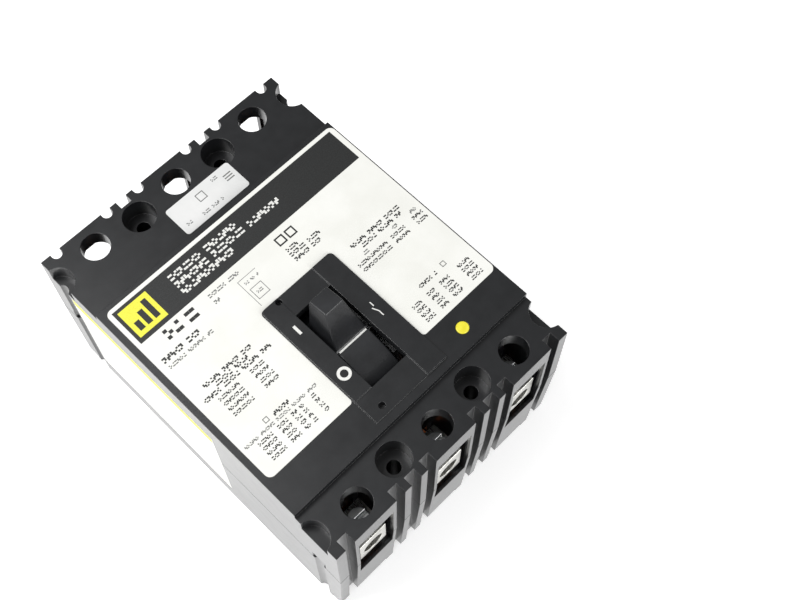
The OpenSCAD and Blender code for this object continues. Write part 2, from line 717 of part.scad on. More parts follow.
// U-shaped iron round the bimetal, open towards the armature.
yoke_hw = 7.5;
yoke_back = heater_y + 2.4;
yoke_z0 = 18;
yoke_z1 = 34;
module magnet_yoke(p) color("slategray") translate([pole_x(p), 0, 0]) difference() {
  block([-yoke_hw, heater_y - 2.2, yoke_z0], [yoke_hw, yoke_back + 1.6, yoke_z1]);
  block([-yoke_hw + 1.5, heater_y - 3, yoke_z0 - 1], [yoke_hw - 1.5, yoke_back, yoke_z1 + 1]);
  block([-3.3, yoke_back - 1, yoke_z0 + 6], [3.3, yoke_back + 3, yoke_z1 + 1]);
}
module magnet_yoke_1() magnet_yoke(-1);
module magnet_yoke_2() magnet_yoke(0);
module magnet_yoke_3() magnet_yoke(1);

// Iron plate hinged at its foot, with two horns that reach past the bimetal.
armature_hw = 7.5;
armature_top = 44;
horn_h = 3;
horn_hw = 1;
module armature(p) color("steelblue") translate([pole_x(p), 0, 0]) difference() {
  union() {
    block([-armature_hw, armature_y, hinge_z], [armature_hw, armature_y + armature_t, armature_top]);
    bar_x(hinge_r + 0.8, -armature_hw, armature_hw, hinge_y, hinge_z);
    for (s = [-1, 1]) {
      x = s * (armature_hw - horn_hw);
      block([x - horn_hw, armature_y, armature_top - horn_h], [x + horn_hw, heater_y + 0.1, armature_top]);
    }
  }
  bar_x(hinge_r + run_gap, -armature_hw - 1, armature_hw + 1, hinge_y, hinge_z);
  block([-5, armature_y - 1, armature_top - 6], [5, armature_y + armature_t + 1, armature_top + 1]);
}
module armature_1() armature(-1);
module armature_2() armature(0);
module armature_3() armature(1);

// Hinge wires of the three armatures, each in a small steel bracket.
module armature_pins() color("silver") for (p = poles) {
  bar_x(hinge_r, pole_x(p) - 9, pole_x(p) + 9, hinge_y, hinge_z);
  for (s = [-1, 1]) {
    x0 = pole_x(p) + s * 8.4 - 0.6;
    block([x0, hinge_y - 1.5, floor_t], [x0 + 1.2, hinge_y + 1.5, hinge_z + 1.5]);
  }
}

// Trip bar across all poles, with a paddle at each pole and a tab under the button.
paddle_h = 13;
module trip_bar() color("saddlebrown") {
  bar_x(trip_r, -pole_pitch - 9, pole_pitch + 9, trip_y, trip_z);
  for (p = poles)
    block([pole_x(p) - 8, trip_y - 2.3, trip_z - paddle_h], [pole_x(p) + 8, trip_y - 0.7, trip_z]);
  block([button_x - 3, button_y - 2, trip_z - 0.6], [button_x + 3, trip_y, trip_z + 1.9]);
}

// Steel catch on the trip bar that holds the tip of the cradle.
module latch_plate() color("silver") difference() {
  block([front_x - 4, trip_y + 1, trip_z + 0.5], [front_x + 4, latch_y - 0.4, latch_z + 3.5]);
  bar_x(trip_r, front_x - 5, front_x + 5, trip_y, trip_z);
}

module trip_button() color("yellow") {
  bar_up(button_d / 2, button_x, button_y, button_low, top_z + 0.3);
  bar_up(button_d / 2 + 1, button_x, button_y, top_z - roof_t - 4, top_z - roof_t - 2.5);
}

// ---- load lugs ----

// Aluminium block with a wire hole along Y and a threaded hole from above.
module load_lug(p) color("silver") translate([pole_x(p), 0, 0]) difference() {
  block([-lug_w / 2, -lug_y - lug_l / 2, lug_z0], [lug_w / 2, -lug_y + lug_l / 2, lug_z0 + lug_h]);
  translate([0, -lug_y, wire_z]) rotate([90, 0, 0]) cylinder(d = wire_d, h = lug_l + 2, center = true);
  bar_up(lug_screw_d / 2 + run_gap, 0, -access_y, wire_z, lug_z0 + lug_h + 1);
}
module load_lug_1() load_lug(-1);
module load_lug_2() load_lug(0);
module load_lug_3() load_lug(1);

// Slotted clamping screw, drawn backed off so that a wire can go in.
module lug_screw(p) color("silver") translate([pole_x(p), 0, 0]) difference() {
  bar_up(lug_screw_d / 2, 0, -access_y, wire_z + wire_d / 2 + screw_clear, screw_top);
  block([-6, -access_y - 0.7, screw_top - 2], [6, -access_y + 0.7, screw_top + 1]);
}
module lug_screw_1() lug_screw(-1);
module lug_screw_2() lug_screw(0);
module lug_screw_3() lug_screw(1);

base();
cover();
rating_label();
ledge_sticker();
side_label();
cover_screws();
handle();
handle_yoke();
handle_pins();
toggle_springs();
frame_left();
frame_right();
frame_pins();
cradle();
cradle_pin();
latch_plate();
upper_links();
toggle_pin();
lower_links();
drive_pin();
crossbar();
contact_arm_1();
contact_arm_2();
contact_arm_3();
moving_contacts();
braid_1();
braid_2();
braid_3();
line_terminal_1();
line_terminal_2();
line_terminal_3();
fixed_contacts();
arc_plates_1();
arc_plates_2();
arc_plates_3();
arc_walls_1();
arc_walls_2();
arc_walls_3();
load_terminal_1();
load_terminal_2();
load_terminal_3();
bimetal_1();
bimetal_2();
bimetal_3();
magnet_yoke_1();
magnet_yoke_2();
magnet_yoke_3();
armature_1();
armature_2();
armature_3();
armature_pins();
trip_bar();
trip_button();
load_lug_1();
load_lug_2();
load_lug_3();
lug_screw_1();
lug_screw_2();
lug_screw_3();
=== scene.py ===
# %% [markdown]
# # A three-pole moulded case breaker
#
# The breaker is a black moulded box that lies on its back: a base and a cover, a printed
# rating label, a toggle handle in a raised surround, a yellow push-to-trip button and
# wire lugs at one end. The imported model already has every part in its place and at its
# size. This lesson gives the parts their edges, print and finishes, and lights them.
#
# Every part of the mechanism is already there as a solid. What it lacks is what a mould,
# a press and a printer leave behind, and that is what each step below adds.

# %% Load the frame
import json
import math

import bmesh
import bpy
from mathutils import Matrix, Vector


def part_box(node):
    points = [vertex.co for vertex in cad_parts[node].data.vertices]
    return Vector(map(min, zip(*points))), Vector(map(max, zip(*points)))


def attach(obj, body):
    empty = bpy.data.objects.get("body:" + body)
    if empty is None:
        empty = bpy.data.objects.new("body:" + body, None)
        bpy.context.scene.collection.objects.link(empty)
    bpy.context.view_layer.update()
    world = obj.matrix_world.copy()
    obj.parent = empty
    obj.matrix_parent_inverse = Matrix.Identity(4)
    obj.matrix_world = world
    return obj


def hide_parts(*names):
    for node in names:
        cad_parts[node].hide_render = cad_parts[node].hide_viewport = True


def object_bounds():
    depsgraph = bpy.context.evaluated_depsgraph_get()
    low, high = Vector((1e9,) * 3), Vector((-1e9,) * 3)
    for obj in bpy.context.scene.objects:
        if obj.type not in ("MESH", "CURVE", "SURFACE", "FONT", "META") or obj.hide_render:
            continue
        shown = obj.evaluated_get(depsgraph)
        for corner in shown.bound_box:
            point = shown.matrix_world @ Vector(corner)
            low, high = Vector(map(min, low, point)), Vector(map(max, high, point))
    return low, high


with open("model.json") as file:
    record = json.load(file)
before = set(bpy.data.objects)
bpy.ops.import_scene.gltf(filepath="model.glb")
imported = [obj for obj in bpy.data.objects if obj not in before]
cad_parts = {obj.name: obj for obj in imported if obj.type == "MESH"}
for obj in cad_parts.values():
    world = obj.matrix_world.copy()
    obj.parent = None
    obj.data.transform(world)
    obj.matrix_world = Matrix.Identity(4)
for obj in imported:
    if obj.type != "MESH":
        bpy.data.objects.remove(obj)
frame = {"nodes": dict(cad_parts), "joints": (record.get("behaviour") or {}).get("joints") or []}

MM = 0.001
cad_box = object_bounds()


# %% [markdown]
# ## Where things are
#
# A piece could be placed by typing coordinates, but then it would float when the model
# changes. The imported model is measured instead: the label gives the plane it is stuck to,
# the cover gives the height of its rails, and the handle the centre line of the front.

# %% Measure the frame
label_low, label_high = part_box("rating_label")
sticker_low, sticker_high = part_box("ledge_sticker")
handle_low, handle_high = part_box("handle")

rail_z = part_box("cover")[1].z
top_z = label_low.z
centre_x = (handle_low.x + handle_high.x) / 2 / MM
handle_joint = [j for j in frame["joints"] if j["child"] == "handle_arm"][0]
print("front plane at %.1f mm, ledges at %.1f mm" % (top_z / MM, sticker_low.z / MM))
print("handle joint:", {k: handle_joint[k] for k in handle_joint if k != "notes"})


# %% [markdown]
# ## Helpers for materials
#
# Colours are easiest to think of as the hex values of a paint chart, but Blender's
# shaders work in linear light, so one function turns the first into the second. Another
# adds a node, sets it up and wires it, so that a material reads as a short list of steps.

# %% Colour and node helpers
def linear(hex_code):
    """Turns an sRGB hex colour such as 191A1C into a linear RGBA tuple."""
    parts = [int(hex_code[i:i + 2], 16) / 255 for i in (0, 2, 4)]
    curve = [c / 12.92 if c <= 0.04045 else ((c + 0.055) / 1.055) ** 2.4 for c in parts]
    return (*curve, 1.0)


def add(material, kind, inputs=None, **settings):
    """Adds a node. inputs gives a value, or an output socket to link, for each input."""
    tree = material.node_tree
    node = tree.nodes.new("ShaderNode" + kind)
    for name, value in settings.items():
        setattr(node, name, value)
    for name, value in (inputs or {}).items():
        if isinstance(value, bpy.types.NodeSocket):
            tree.links.new(value, node.inputs[name])
        else:
            node.inputs[name].default_value = value
    return node


def new_material(name):
    """An empty node material, with the object's own coordinates ready to use."""
    material = bpy.data.materials.new(name)
    material.use_nodes = True
    material.node_tree.nodes.clear()
    place = add(material, "TexCoord").outputs["Object"]
    return material, place


def finish(material, shader):
    """Wires a shader to the material's output."""
    add(material, "OutputMaterial", {"Surface": shader.outputs[0]})
    return material


def ramp(material, factor, *stops):
    """A colour ramp from (position, colour) stops."""
    node = add(material, "ValToRGB", {"Fac": factor})
    elements = node.color_ramp.elements
    while len(elements) < len(stops):
        elements.new(0.5)
    for element, (position, colour) in zip(elements, stops):
        element.position = position
        element.color = colour
    return node.outputs["Color"]


def grey(value):
    """A grey for ramps that steer a roughness or a mask."""
    return (value, value, value, 1.0)


print("black of the case in linear light:", [round(c, 4) for c in linear("191A1C")])


# %% [markdown]
# ## Moulded black thermoset
#
# The case is pressed from glass-filled thermoset. It comes out of a polished mould, so it
# is glossy, but the resin flows round the fibres and leaves a faint mottle, and dust dulls
# it in patches. One noise a few millimetres across changes the colour and the gloss, and
# another of about 0.4 mm gives the orange-peel bump. The handle is a separate moulding of
# a slightly paler plastic, with a finer grain and less of a shine. A thin clear coat stands for the
# resin-rich skin, which is what makes the vertical walls mirror the floor.

# %% Case and handle plastics
def moulded_black(name, deep, dusty, gloss, grain_mm, coat):
    material, place = new_material(name)
    mottle = add(material, "TexNoise", {
        "Vector": place, "Scale": 1 / (6 * MM), "Detail": 5.0, "Roughness": 0.62})
    grain = add(material, "TexNoise", {
        "Vector": place, "Scale": 1 / (grain_mm * MM), "Detail": 2.0})
    colour = ramp(material, mottle.outputs["Fac"],
                  (0.30, linear(deep)), (0.78, linear(dusty)))
    rough = ramp(material, mottle.outputs["Fac"],
                 (0.25, grey(gloss - 0.01)), (0.80, grey(gloss + 0.03)))
    bump = add(material, "Bump", {
        "Height": grain.outputs["Fac"], "Strength": 0.12, "Distance": 0.03 * MM})
    shader = add(material, "BsdfPrincipled", {
        "Base Color": colour, "Roughness": rough, "IOR": 1.56,
        "Coat Weight": coat, "Coat Roughness": 0.10, "Coat IOR": 1.5,
        "Normal": bump.outputs["Normal"]})
    return finish(material, shader)


case_black = moulded_black("glass_filled_thermoset", "191A1C", "202123", 0.30, 0.45, 0.35)
handle_black = moulded_black("handle_thermoset", "1F2022", "292A2D", 0.36, 0.35, 0.2)
print("moulded blacks:", case_black.name, handle_black.name)


# %% [markdown]
# The crossbar and the trip bar are pressed from brown phenolic, which never sees light, so
# it keeps its chocolate colour and shows wood-flour specks a third of a millimetre across.
# The walls of the arc chutes are vulcanised fibre: hard, matt and faintly streaked along
# the sheet.

# %% Brown thermoset and fibre
def brown_phenolic():
    material, place = new_material("brown_phenolic")
    specks = add(material, "TexVoronoi", {"Vector": place, "Scale": 1 / (0.7 * MM)})
    colour = ramp(material, specks.outputs["Distance"],
                  (0.05, linear("6B4128")), (0.35, linear("47291A")), (0.8, linear("3B2115")))
    bump = add(material, "Bump", {
        "Height": specks.outputs["Distance"], "Strength": 0.1, "Distance": 0.02 * MM})
    shader = add(material, "BsdfPrincipled", {
        "Base Color": colour, "Roughness": 0.42, "IOR": 1.6, "Normal": bump.outputs["Normal"]})
    return finish(material, shader)


def vulcanised_fibre():
    material, place = new_material("vulcanised_fibre")
    along = add(material, "Mapping", {"Vector": place, "Scale": (1.0, 0.15, 1.0)})
    streaks = add(material, "TexNoise", {
        "Vector": along.outputs["Vector"], "Scale": 1 / (0.8 * MM), "Detail": 4.0})
    colour = ramp(material, streaks.outputs["Fac"],
                  (0.3, linear("B08A5E")), (0.7, linear("CDB088")))
    bump = add(material, "Bump", {
        "Height": streaks.outputs["Fac"], "Strength": 0.2, "Distance": 0.03 * MM})
    shader = add(material, "BsdfPrincipled", {
        "Base Color": colour, "Roughness": 0.7, "IOR": 1.5, "Normal": bump.outputs["Normal"]})
    return finish(material, shader)


bar_phenolic = brown_phenolic()
chute_fibre = vulcanised_fibre()
print("inner insulation:", bar_phenolic.name, chute_fibre.name)


# %% [markdown]
# ## Metals
#
# Each metal part has a history that the eye reads in its gloss. Lugs are cut from drawn
# aluminium bar and tin plated, so fine lines run along the wire hole. Pressed steel is
# zinc plated and shows soft patches. Copper straps are rolled and have darkened a little.
# One function lays a stretched noise over a metal, and each finish says how coarse it is,
# which way it runs and how far it moves the colour and the gloss.

# %% Metal finishes
def worked_metal(name, dark, light, gloss, spread, lines_mm, stretch, bump_mm):
    """A metal whose marks are lines_mm apart, drawn out along an axis by stretch."""
    material, place = new_material(name)
    drawn = add(material, "Mapping", {"Vector": place, "Scale": stretch})
    lines = add(material, "TexNoise", {
        "Vector": drawn.outputs["Vector"], "Scale": 1 / (lines_mm * MM), "Detail": 4.0})
    patches = add(material, "TexNoise", {"Vector": place, "Scale": 1 / (5 * MM), "Detail": 3.0})
    colour = ramp(material, patches.outputs["Fac"], (0.3, linear(dark)), (0.7, linear(light)))
    rough = ramp(material, lines.outputs["Fac"],
                 (0.25, grey(gloss - spread)), (0.75, grey(gloss + spread)))
    bump = add(material, "Bump", {
        "Height": lines.outputs["Fac"], "Strength": 0.35, "Distance": bump_mm * MM})
    shader = add(material, "BsdfPrincipled", {
        "Base Color": colour, "Metallic": 1.0, "Roughness": rough,
        "Normal": bump.outputs["Normal"]})
    return finish(material, shader)


ALONG_Y = (1.0, 0.06, 1.0)
ALONG_X = (0.06, 1.0, 1.0)
EVEN = (1.0, 1.0, 1.0)
tin_plate = worked_metal(
    "tin_plated_aluminium", "BDBCB6", "DEDDD8", 0.30, 0.10, 0.5, ALONG_Y, 0.03)
zinc_plate = worked_metal("zinc_plated_steel", "BFC1C2", "DFE0DF", 0.40, 0.08, 0.9, EVEN, 0.01)
rolled_copper = worked_metal("rolled_copper", "A5603F", "C9805A", 0.33, 0.10, 0.4, ALONG_Y, 0.02)
contact_silver = worked_metal("silver_contact", "C6C4BD", "E2E0DA", 0.38, 0.06, 0.6, EVEN, 0.01)
bimetal_strip = worked_metal("rolled_bimetal", "8F8570", "B3A98F", 0.35, 0.08, 0.4, ALONG_X, 0.01)
metals = (tin_plate, zinc_plate, rolled_copper, contact_silver, bimetal_strip)
print("metals:", [metal.name for metal in metals])


# %% [markdown]
# The braids are woven from copper wire a tenth of a millimetre thick. Two sets of bands
# that cross at an angle give the over-and-under of the weave. Real wires would be finer
# than the render can show, so the bands are drawn 0.8 mm apart.

# %% Copper braid
BRAID_PITCH = 0.8 * MM
WAVE_LENGTH = 0.314    # length of one band of the Wave texture at a scale of 1


def copper_braid():
    material, place = new_material("copper_braid")
    crossing = []
    for lean in (0.8, -0.8):
        turned = add(material, "Mapping", {"Vector": place, "Rotation": (lean, 0.0, lean)})
        bands = add(material, "TexWave", {
            "Vector": turned.outputs["Vector"],
            "Scale": WAVE_LENGTH / BRAID_PITCH}, bands_direction="X")
        crossing.append(bands.outputs["Fac"])
    weave = add(material, "Math", {0: crossing[0], 1: crossing[1]}, operation="MAXIMUM")
    colour = ramp(material, weave.outputs[0], (0.2, linear("6E3A24")), (0.9, linear("C98A63")))
    bump = add(material, "Bump", {
        "Height": weave.outputs[0], "Strength": 0.8, "Distance": 0.15 * MM})
    shader = add(material, "BsdfPrincipled", {
        "Base Color": colour, "Metallic": 1.0, "Roughness": 0.38,
        "Normal": bump.outputs["Normal"]})
    return finish(material, shader)


braid_copper = copper_braid()
print("braid bands %.1f mm apart" % (BRAID_PITCH / MM))


# %% [markdown]
# ## Label film, ink and the yellow button
#
# The rating label is printed polyester film, smooth and slightly glossy, and not quite
# white. The small sticker is duller vinyl. Printed ink has a dry, even sheen of its own,
# and under a raking light it is a little rougher where the screen left its mesh.

# %% Films, inks and button plastic
def film(name, shade, tint, gloss):
    material, place = new_material(name)
    cloud = add(material, "TexNoise", {"Vector": place, "Scale": 1 / (14 * MM), "Detail": 4.0})
    colour = ramp(material, cloud.outputs["Fac"], (0.35, linear(shade)), (0.65, linear(tint)))
    ripple = add(material, "TexNoise", {"Vector": place, "Scale": 1 / (3 * MM), "Detail": 1.0})
    bump = add(material, "Bump", {
        "Height": ripple.outputs["Fac"], "Strength": 0.1, "Distance": 0.02 * MM})
    shader = add(material, "BsdfPrincipled", {
        "Base Color": colour, "Roughness": gloss, "IOR": 1.57,
        "Coat Weight": 0.2, "Coat Roughness": 0.15, "Normal": bump.outputs["Normal"]})
    return finish(material, shader)


def ink(name, thin, full):
    material, place = new_material(name)
    mesh_marks = add(material, "TexNoise", {
        "Vector": place, "Scale": 1 / (0.4 * MM), "Detail": 3.0})
    colour = ramp(material, mesh_marks.outputs["Fac"], (0.3, linear(thin)), (0.6, linear(full)))
    rough = ramp(material, mesh_marks.outputs["Fac"], (0.3, grey(0.42)), (0.7, grey(0.52)))
    shader = add(material, "BsdfPrincipled", {
        "Base Color": colour, "Roughness": rough, "IOR": 1.5})
    return finish(material, shader)


def button_plastic():
    material, place = new_material("yellow_abs")
    flow = add(material, "TexNoise", {"Vector": place, "Scale": 1 / (2 * MM), "Detail": 3.0})
    colour = ramp(material, flow.outputs["Fac"], (0.3, linear("E6D92E")), (0.7, linear("F4EA4A")))
    bump = add(material, "Bump", {
        "Height": flow.outputs["Fac"], "Strength": 0.1, "Distance": 0.02 * MM})
    shader = add(material, "BsdfPrincipled", {
        "Base Color": colour, "Roughness": 0.33, "IOR": 1.53,
        "Subsurface Weight": 0.08, "Subsurface Radius": (0.9 * MM, 0.8 * MM, 0.2 * MM),
        "Normal": bump.outputs["Normal"]})
    return finish(material, shader)


label_film = film("polyester_label_film", "EDEDE7", "F4F4EF", 0.38)
sticker_vinyl = film("vinyl_sticker", "DCDDDC", "E9E9E8", 0.5)
black_ink = ink("black_screen_ink", "2B2C2C", "1D1E1E")
grey_ink = ink("worn_grey_ink", "8C8D8B", "6A6B6A")
white_ink = ink("white_pad_ink", "DADAD6", "F0F0EC")
yellow_ink = ink("yellow_screen_ink", "E4E03A", "F3EF4C")

FINISHES = {
    "case_black": case_black, "handle_black": handle_black, "label_white": label_film,
    "button_yellow": button_plastic(), "zinc_steel": zinc_plate, "lug_aluminium": tin_plate,
    "copper": rolled_copper, "contact_silver": contact_silver, "bimetal": bimetal_strip,
    "brown_thermoset": bar_phenolic, "fibre": chute_fibre,
}
for name, node in frame["nodes"].items():
    for slot in node.material_slots:
        slot.material = FINISHES[slot.material.name.split(".")[0]]
    if name.startswith("braid"):
        node.material_slots[0].material = braid_copper
frame["nodes"]["ledge_sticker"].material_slots[0].material = sticker_vinyl
print("finishes:", sorted(FINISHES))


# %% [markdown]
# ## Edges that catch the light
#
# No moulded or machined edge is knife sharp: a mould has a small radius, and a tumbled
# metal block a larger one, and that radius is the thin bright line that makes an object
# look real. The edge could be drawn into the design, but it is far too small to matter
# there. So each visible part is copied, its loose triangles are welded into proper faces,
# and a Bevel modifier rounds every edge sharper than an angle. The copy then stands for
# the part.

# %% Rounded copies of the CAD parts
WELD = 0.002 * MM


def show(name, data):
    """Makes an object from a mesh, a light or a camera and links it to the scene."""
    thing = bpy.data.objects.new(name, data)
    bpy.context.scene.collection.objects.link(thing)
    return thing


def rounded_copy(node, name, radius_mm, segments=2, sharp=28, body="case"):
    """Copies a node, merges its triangles and rounds its edges."""
    source = frame["nodes"][node]
    bm = bmesh.new()
    bm.from_mesh(source.data)
    bmesh.ops.remove_doubles(bm, verts=bm.verts, dist=WELD)
    bmesh.ops.dissolve_limit(
        bm, angle_limit=math.radians(0.5), use_dissolve_boundaries=False,
        verts=bm.verts, edges=bm.edges)
    mesh = bpy.data.meshes.new(name)
    bm.to_mesh(mesh)
    bm.free()
    mesh.materials.append(source.material_slots[0].material)
    mesh.shade_smooth()
    piece = show(name, mesh)
    soft = piece.modifiers.new("edge radius", "BEVEL")
    soft.width = radius_mm * MM
    soft.segments = segments
    soft.limit_method = "ANGLE"
    soft.angle_limit = math.radians(sharp)
    soft.use_clamp_overlap = False
    flat = piece.modifiers.new("flat faces", "WEIGHTED_NORMAL")
    flat.mode = "FACE_AREA"
    flat.keep_sharp = True
    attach(piece, body)
    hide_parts(node)
    print("%-18s %5d faces" % (name, len(mesh.polygons)))
    return piece


rounded_copy("cover", "cover_moulding", 0.13)
rounded_copy("base", "base_moulding", 0.13)
rounded_copy("handle", "handle_moulding", 0.6, 3, body="handle_arm")
rounded_copy("trip_button", "button_cap", 0.4, 3, body="push_to_trip_button")
for pole in (1, 2, 3):
    rounded_copy("load_lug_%d" % pole, "lug_block_%d" % pole, 0.35)
    rounded_copy("lug_screw_%d" % pole, "clamp_screw_%d" % pole, 0.3,
                         body="clamp_screw_%d" % pole)


# %% [markdown]
# ## Print
#
# Everything printed is real but very thin geometry: bars of ink a few hundredths of a
# millimetre proud. The words of the real label are left out. In their place stand greeked
# rows, which keep the length and weight of each line but say nothing. A row could be a
# single bar, but then it would read as a redaction, so it is broken into small blocks in
# staggered patterns, with a gap between words.

# %% Strokes of ink
INK_T = 0.03 * MM
SINK = 0.05 * MM


def print_piece(bm, name, material, body="case"):
    """Turns the strokes in a bmesh into a piece of print that rides on a body."""
    bmesh.ops.recalc_face_normals(bm, faces=bm.faces)
    mesh = bpy.data.meshes.new(name)
    bm.to_mesh(mesh)
    bm.free()
    mesh.materials.append(material)
    piece = show(name, mesh)
    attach(piece, body)
    print("%-18s %5d faces" % (name, len(mesh.polygons)))


def stroke(bm, x0, y0, x1, y1, surface):
    """A thin bar of ink between two corners in mm, on a surface whose height is in metres."""
    size = ((x1 - x0) * MM, (y1 - y0) * MM, INK_T + SINK)
    middle = Vector(((x0 + x1) / 2 * MM, (y0 + y1) / 2 * MM, surface + (INK_T - SINK) / 2))
    place = Matrix.Translation(middle) @ Matrix.Diagonal((*size, 1.0))
    bmesh.ops.create_cube(bm, size=1.0, matrix=place)


# Each pattern fills some blocks of a cell two wide and three high: (column, row).
PATTERNS = (
    ((0, 0), (1, 1), (0, 2)),
    ((1, 0), (0, 1), (1, 2)),
    ((1, 0), (0, 1), (1, 1), (0, 2)),
    ((0, 0), (1, 0), (0, 2), (1, 2)),
    ((0, 0), (0, 1), (1, 1), (1, 2)),
    ((0, 0), (1, 0), (1, 2)),
    ((0, 0), (1, 1), (0, 2), (1, 2)),
)


CELL_WIDTH = 0.86      # of the row's height
BLOCK_WIDTH = 0.43     # of the cell
BLOCK_HEIGHT = 0.32    # of the row's height


def greek_row(bm, x0, x1, y, cap, surface, word=7, seed=0):
    """Fills a row from x0 to x1 with block patterns, cap high and centred on y. All in mm."""
    count = max(1, round((x1 - x0) / (CELL_WIDTH * cap)))
    step = (x1 - x0) / count
    for i in range(count):
        if word and i % (word + 1) == word:
            continue
        for column, row in PATTERNS[(i * 5 + seed * 3 + i // 3) % len(PATTERNS)]:
            left = x0 + (i + 0.44 * column) * step
            low = y + (row * 0.345 - 0.5) * cap
            stroke(bm, left, low, left + BLOCK_WIDTH * step, low + BLOCK_HEIGHT * cap, surface)


print("ink stands %.2f mm proud" % (INK_T / MM))


# %% [markdown]
# The label carries a black band near its line edge, with a yellow patch and three rows of
# white print. The patch holds nothing but three bars of rising height. The places of the
# rows are measured in millimetres from the middle of the case, as a printer's layout would
# give them.

# %% Black band and its white print
FILM_TOP = label_high.z
BAND_MARGIN = 1.8
BAND_DEPTH = 15.9
band_x0 = label_low.x / MM + BAND_MARGIN
band_x1 = label_high.x / MM - BAND_MARGIN - 0.3
band_y1 = label_high.y / MM - BAND_MARGIN + 0.2
band_y0 = band_y1 - BAND_DEPTH

bm = bmesh.new()
stroke(bm, band_x0, band_y0, band_x1, band_y1, FILM_TOP)
print_piece(bm, "label_band", black_ink)

OVER_BAND = FILM_TOP + INK_T
bm = bmesh.new()
title_x = band_x0 + 23.0
for drop, length, word, seed in ((4.0, 31.4, 7, 1), (7.6, 49.4, 7, 2), (11.2, 24.0, 0, 3)):
    greek_row(bm, title_x, title_x + length, band_y1 - drop, 2.5, OVER_BAND, word=word, seed=seed)
print_piece(bm, "label_band_print", white_ink)


def square_ring(bm, x, y, half, thick, surface):
    """Four strokes round a square, in mm."""
    stroke(bm, x - half, y - half, x + half, y - half + thick, surface)
    stroke(bm, x - half, y + half - thick, x + half, y + half, surface)
    inner = half - thick
    for side in (-1, 1):
        x0, x1 = sorted((x + side * half, x + side * inner))
        stroke(bm, x0, y - inner, x1, y + inner, surface)


PATCH_IN = 7.7         # from the band's corner to the middle of the patch
PATCH_HALF = 6.3
BAR_HALF = 1.1
bm = bmesh.new()
patch_x = band_x0 + PATCH_IN
patch_y = band_y1 - PATCH_IN
stroke(bm, patch_x - PATCH_HALF, patch_y - PATCH_HALF, patch_x + PATCH_HALF, patch_y + PATCH_HALF,
       OVER_BAND)
print_piece(bm, "label_yellow_patch", yellow_ink)
bm = bmesh.new()
bar_foot = patch_y - 4.4
for shift, height in ((-3.4, 4.0), (0.0, 6.4), (3.4, 8.8)):
    x = patch_x + shift
    stroke(bm, x - BAR_HALF, bar_foot, x + BAR_HALF, bar_foot + height, OVER_BAND + INK_T)
print_piece(bm, "label_patch_bars", black_ink)
print("band %.1f x %.1f mm" % (band_x1 - band_x0, BAND_DEPTH))


# %% [markdown]
# Below the band the print is black on white: ratings to the left and right of the handle,
# and a small diagram. Each row gives its start, its end, its place up the case and how tall
# its blocks are together. Columns that repeat down the label share their starts and ends.

# %% Rating rows
RATING_ROWS = (
    (-43.8, -36.4, 21.2, 4.3), (-34.2, -29.4, 20.9, 4.3),
    (-50.8, -34.2, 14.5, 2.2),
    (-47.1, -25.4, -2.2, 1.7), (-43.7, -28.8, -4.4, 1.7), (-50.6, -20.4, -6.6, 1.7),
    (-37.1, -28.6, -26.2, 1.6),
    (8.1, 13.3, 15.6, 1.6), (7.8, 22.0, 13.3, 1.6), (7.9, 20.2, 10.8, 1.6),
    (25.3, 50.6, 0.3, 1.6), (28.4, 48.0, -2.1, 1.6),
    (31.1, 39.8, -28.0, 1.5),
)
FINE_ROWS = (
    (-50.6, -30.8, 11.3, 1.4), (-23.5, -9.4, 21.7, 1.5), (-23.5, -20.9, 18.6, 1.5),
    (-52.0, -19.4, -28.4, 1.2),
    (26.6, 29.2, -4.7, 1.4), (41.1, 43.6, -4.7, 1.4), (50.1, 53.2, -4.6, 1.4),
)
LEFT_RATINGS = ((-46.6, -37.5), (-32.3, -26.1))
RIGHT_RATINGS = ((21.9, 36.0), (38.2, 45.0), (49.0, 54.0))
LEFT_WIRES = ((-48.0, -41.6), (-39.3, -34.8), (-33.0, -30.4), (-29.3, -27.4), (-24.0, -22.0))
RIGHT_WIRES = ((23.7, 28.0), (31.0, 34.7), (37.3, 41.9), (46.4, 52.0))

bm = bmesh.new()
for k, (x0, x1, y, cap) in enumerate(RATING_ROWS):
    greek_row(bm, x0, x1, y, cap, FILM_TOP, word=5, seed=k)
for columns, top, step, rows in ((LEFT_RATINGS, -9.5, 2.5, 4), (RIGHT_RATINGS, -7.1, 2.5, 2),
                                 (LEFT_WIRES, -30.7, 2.25, 4), (RIGHT_WIRES, -32.1, 2.25, 4)):
    for row in range(rows):
        for k, (x0, x1) in enumerate(columns):
            greek_row(bm, x0, x1, top - row * step, 1.35, FILM_TOP, word=0, seed=row * 5 + k)
for x in (9.6, 14.4):
    square_ring(bm, x, 20.3, 1.9, 0.6, FILM_TOP)
print_piece(bm, "label_print", black_ink)

bm = bmesh.new()
for k, (x0, x1, y, cap) in enumerate(FINE_ROWS):
    greek_row(bm, x0, x1, y, cap, FILM_TOP, word=6, seed=k)
for x, y in ((-40.2, -25.8), (43.7, -27.4)):
    square_ring(bm, x, y, 1.0, 0.3, FILM_TOP)
# The diagram is two sides of a frame and a box.
stroke(bm, -12.8, 18.6, -4.4, 18.8, FILM_TOP)
stroke(bm, -12.8, 6.2, -12.6, 18.6, FILM_TOP)
square_ring(bm, -8.9, 11.1, 2.6, 0.25, FILM_TOP)
greek_row(bm, -10.2, -7.6, 11.1, 1.2, FILM_TOP, word=0)
greek_row(bm, -11.2, -4.8, 16.4, 1.1, FILM_TOP, word=2)
print_piece(bm, "label_fine_print", grey_ink)

